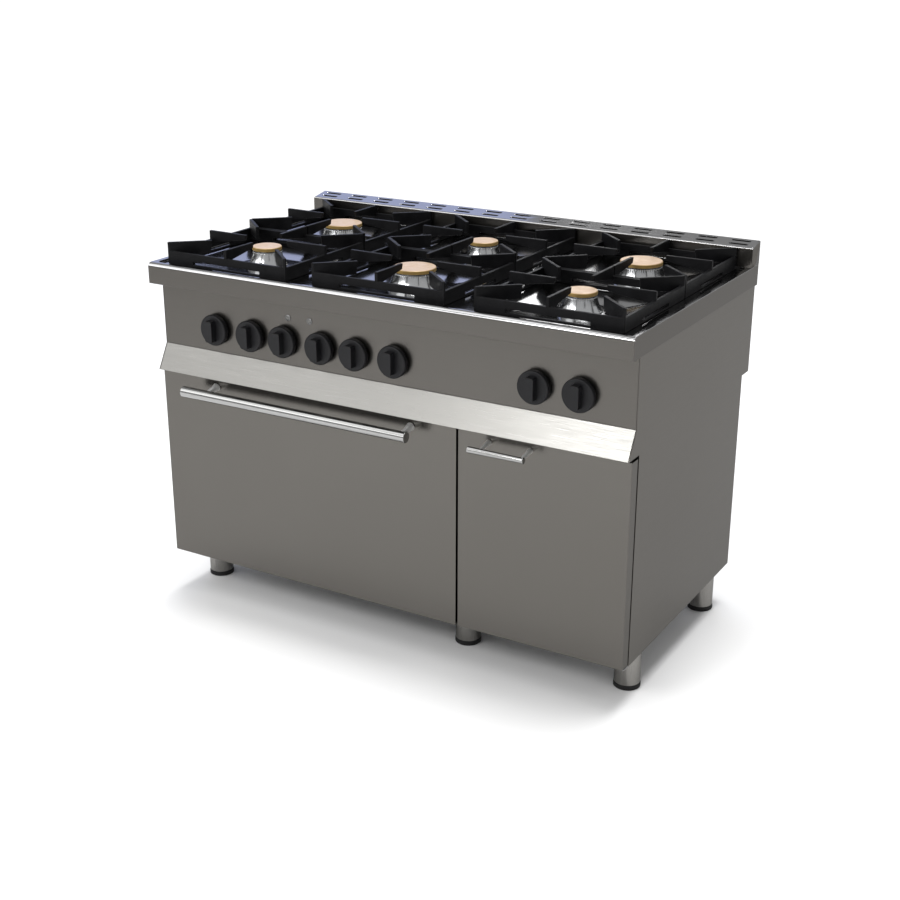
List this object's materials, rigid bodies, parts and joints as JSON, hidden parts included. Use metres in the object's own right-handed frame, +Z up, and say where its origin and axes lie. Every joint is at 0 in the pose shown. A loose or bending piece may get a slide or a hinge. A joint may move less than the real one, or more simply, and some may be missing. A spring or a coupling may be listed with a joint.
{
  "type": "commercial gas range",
  "caption": "Free-standing stainless gas range: open burners under cast pan supports, drop-front oven, side cabinet, slotted rear flue and screw feet.",
  "frame": {"origin": "on the floor, at the middle of the whole footprint", "axes": "+X to the user's right, +Y to the rear, +Z up; the controls and doors face -Y"},
  "size_m": [1.2, 0.732, 0.88],
  "materials": {
    "body_steel": "brushed satin",
    "door_steel": "brushed satin, plain",
    "rail_steel": "brushed satin, lit",
    "inner_steel": "plain mill finish",
    "handle_steel": "polished",
    "foot_steel": "satin tube",
    "burner_steel": "polished",
    "cap_brass": "satin, used",
    "cast_iron": "black enamelled",
    "knob_plastic": "black satin",
    "lamp_lens": "clear lens over an unlit lamp",
    "oven_enamel": "dark vitreous enamel",
    "insulation_wool": "mineral wool",
    "gasket_rubber": "matt",
    "rack_chrome": "plated wire",
    "element_steel": "dull sheath",
    "gas_pipe": "plain",
    "control_steel": "zinc plated",
    "hinge_steel": "plain"
  },
  "bodies": {
    "range_body": {"back_panel": "inner_steel", "base_panel": "inner_steel", "bottom_heating_element": "element_steel", "burner_front_left": "burner_steel", "burner_front_middle": "burner_steel", "burner_front_right": "burner_steel", "burner_rear_left": "burner_steel", "burner_rear_middle": "burner_steel", "burner_rear_right": "burner_steel", "cabinet_door_hinge": "hinge_steel", "cabinet_liner": "body_steel", "control_panel": "body_steel", "flue_riser": "body_steel", "front_frame": "body_steel", "front_rail": "rail_steel", "gas_manifold": "gas_pipe", "heating_lamp": "lamp_lens", "oven_controls": "control_steel", "oven_door_gasket": "gasket_rubber", "oven_door_hinge": "hinge_steel", "oven_floor_plate": "inner_steel", "oven_insulation": "insulation_wool", "oven_liner": "oven_enamel", "power_lamp": "lamp_lens", "side_panel_left": "body_steel", "side_panel_right": "body_steel", "top_heating_element": "element_steel", "worktop": "body_steel"},
    "oven_door": {"oven_door_outer": "door_steel", "oven_door_inner": "inner_steel", "oven_door_handle": "handle_steel"},
    "cabinet_door": {"cabinet_door": "door_steel", "cabinet_door_handle": "handle_steel"},
    "oven_rack": {"oven_rack": "rack_chrome"},
    "burner_knob_front_left": {"burner_knob_front_left": "knob_plastic"},
    "burner_knob_rear_left": {"burner_knob_rear_left": "knob_plastic"},
    "burner_knob_front_middle": {"burner_knob_front_middle": "knob_plastic"},
    "burner_knob_rear_middle": {"burner_knob_rear_middle": "knob_plastic"},
    "burner_knob_front_right": {"burner_knob_front_right": "knob_plastic"},
    "burner_knob_rear_right": {"burner_knob_rear_right": "knob_plastic"},
    "oven_selector_knob": {"oven_selector_knob": "knob_plastic"},
    "oven_thermostat_knob": {"oven_thermostat_knob": "knob_plastic"},
    "grate_front_left": {"grate_front_left": "cast_iron"},
    "grate_front_middle": {"grate_front_middle": "cast_iron"},
    "grate_front_right": {"grate_front_right": "cast_iron"},
    "grate_rear_left": {"grate_rear_left": "cast_iron"},
    "grate_rear_middle": {"grate_rear_middle": "cast_iron"},
    "grate_rear_right": {"grate_rear_right": "cast_iron"},
    "burner_cap_front_left": {"burner_cap_front_left": "cap_brass"},
    "burner_cap_front_middle": {"burner_cap_front_middle": "cap_brass"},
    "burner_cap_front_right": {"burner_cap_front_right": "cap_brass"},
    "burner_cap_rear_left": {"burner_cap_rear_left": "cap_brass"},
    "burner_cap_rear_middle": {"burner_cap_rear_middle": "cap_brass"},
    "burner_cap_rear_right": {"burner_cap_rear_right": "cap_brass"},
    "foot_front_left": {"foot_front_left": "foot_steel"},
    "foot_front_middle": {"foot_front_middle": "foot_steel"},
    "foot_front_right": {"foot_front_right": "foot_steel"},
    "foot_rear_left": {"foot_rear_left": "foot_steel"},
    "foot_rear_middle": {"foot_rear_middle": "foot_steel"},
    "foot_rear_right": {"foot_rear_right": "foot_steel"}
  },
  "joints": [
    {"name": "oven_door_swing", "type": "hinge", "parent": "range_body", "child": "oven_door", "pos_m": [-0.2, -0.29, 0.112], "axis": [1, 0, 0], "range_deg": [0, 90], "stiffness_Nm_per_rad": 14, "springref_deg": -8.59},
    {"name": "cabinet_door_swing", "type": "hinge", "parent": "range_body", "child": "cabinet_door", "pos_m": [0.587, -0.292, 0.33], "axis": [0, 0, 1], "range_deg": [0, 110]},
    {"name": "oven_rack_slide", "type": "slide", "parent": "range_body", "child": "oven_rack", "axis": [0, -1, 0], "range_m": [0, 0.045]},
    {"name": "burner_knob_front_left_turn", "type": "hinge", "parent": "range_body", "child": "burner_knob_front_left", "pos_m": [-0.442, -0.293, 0.681], "axis": [0, -1, 0], "range_deg": [0, 180]},
    {"name": "burner_knob_rear_left_turn", "type": "hinge", "parent": "range_body", "child": "burner_knob_rear_left", "pos_m": [-0.342, -0.293, 0.681], "axis": [0, -1, 0], "range_deg": [0, 180]},
    {"name": "burner_knob_front_middle_turn", "type": "hinge", "parent": "range_body", "child": "burner_knob_front_middle", "pos_m": [-0.062, -0.293, 0.681], "axis": [0, -1, 0], "range_deg": [0, 180]},
    {"name": "burner_knob_rear_middle_turn", "type": "hinge", "parent": "range_body", "child": "burner_knob_rear_middle", "pos_m": [0.038, -0.293, 0.681], "axis": [0, -1, 0], "range_deg": [0, 180]},
    {"name": "burner_knob_front_right_turn", "type": "hinge", "parent": "range_body", "child": "burner_knob_front_right", "pos_m": [0.374, -0.293, 0.681], "axis": [0, -1, 0], "range_deg": [0, 180]},
    {"name": "burner_knob_rear_right_turn", "type": "hinge", "parent": "range_body", "child": "burner_knob_rear_right", "pos_m": [0.474, -0.293, 0.681], "axis": [0, -1, 0], "range_deg": [0, 180]},
    {"name": "oven_selector_knob_turn", "type": "hinge", "parent": "range_body", "child": "oven_selector_knob", "pos_m": [-0.252, -0.293, 0.681], "axis": [0, -1, 0], "range_deg": [-270, 0]},
    {"name": "oven_thermostat_knob_turn", "type": "hinge", "parent": "range_body", "child": "oven_thermostat_knob", "pos_m": [-0.152, -0.293, 0.681], "axis": [0, -1, 0], "range_deg": [-270, 0]},
    {"name": "grate_front_left_lift", "type": "slide", "parent": "range_body", "child": "grate_front_left", "axis": [0, 0, 1], "range_m": [0, 0.06]},
    {"name": "grate_front_middle_lift", "type": "slide", "parent": "range_body", "child": "grate_front_middle", "axis": [0, 0, 1], "range_m": [0, 0.06]},
    {"name": "grate_front_right_lift", "type": "slide", "parent": "range_body", "child": "grate_front_right", "axis": [0, 0, 1], "range_m": [0, 0.06]},
    {"name": "grate_rear_left_lift", "type": "slide", "parent": "range_body", "child": "grate_rear_left", "axis": [0, 0, 1], "range_m": [0, 0.06]},
    {"name": "grate_rear_middle_lift", "type": "slide", "parent": "range_body", "child": "grate_rear_middle", "axis": [0, 0, 1], "range_m": [0, 0.06]},
    {"name": "grate_rear_right_lift", "type": "slide", "parent": "range_body", "child": "grate_rear_right", "axis": [0, 0, 1], "range_m": [0, 0.06]},
    {"name": "burner_cap_front_left_lift", "type": "slide", "parent": "range_body", "child": "burner_cap_front_left", "axis": [0, 0, 1], "range_m": [0, 0.04]},
    {"name": "burner_cap_front_middle_lift", "type": "slide", "parent": "range_body", "child": "burner_cap_front_middle", "axis": [0, 0, 1], "range_m": [0, 0.04]},
    {"name": "burner_cap_front_right_lift", "type": "slide", "parent": "range_body", "child": "burner_cap_front_right", "axis": [0, 0, 1], "range_m": [0, 0.04]},
    {"name": "burner_cap_rear_left_lift", "type": "slide", "parent": "range_body", "child": "burner_cap_rear_left", "axis": [0, 0, 1], "range_m": [0, 0.04]},
    {"name": "burner_cap_rear_middle_lift", "type": "slide", "parent": "range_body", "child": "burner_cap_rear_middle", "axis": [0, 0, 1], "range_m": [0, 0.04]},
    {"name": "burner_cap_rear_right_lift", "type": "slide", "parent": "range_body", "child": "burner_cap_rear_right", "axis": [0, 0, 1], "range_m": [0, 0.04]},
    {"name": "foot_front_left_screw", "type": "slide", "parent": "range_body", "child": "foot_front_left", "axis": [0, 0, -1], "range_m": [0, 0.04]},
    {"name": "foot_front_middle_screw", "type": "slide", "parent": "range_body", "child": "foot_front_middle", "axis": [0, 0, -1], "range_m": [0, 0.04]},
    {"name": "foot_front_right_screw", "type": "slide", "parent": "range_body", "child": "foot_front_right", "axis": [0, 0, -1], "range_m": [0, 0.04]},
    {"name": "foot_rear_left_screw", "type": "slide", "parent": "range_body", "child": "foot_rear_left", "axis": [0, 0, -1], "range_m": [0, 0.04]},
    {"name": "foot_rear_middle_screw", "type": "slide", "parent": "range_body", "child": "foot_rear_middle", "axis": [0, 0, -1], "range_m": [0, 0.04]},
    {"name": "foot_rear_right_screw", "type": "slide", "parent": "range_body", "child": "foot_rear_right", "axis": [0, 0, -1], "range_m": [0, 0.04]}
  ]
}
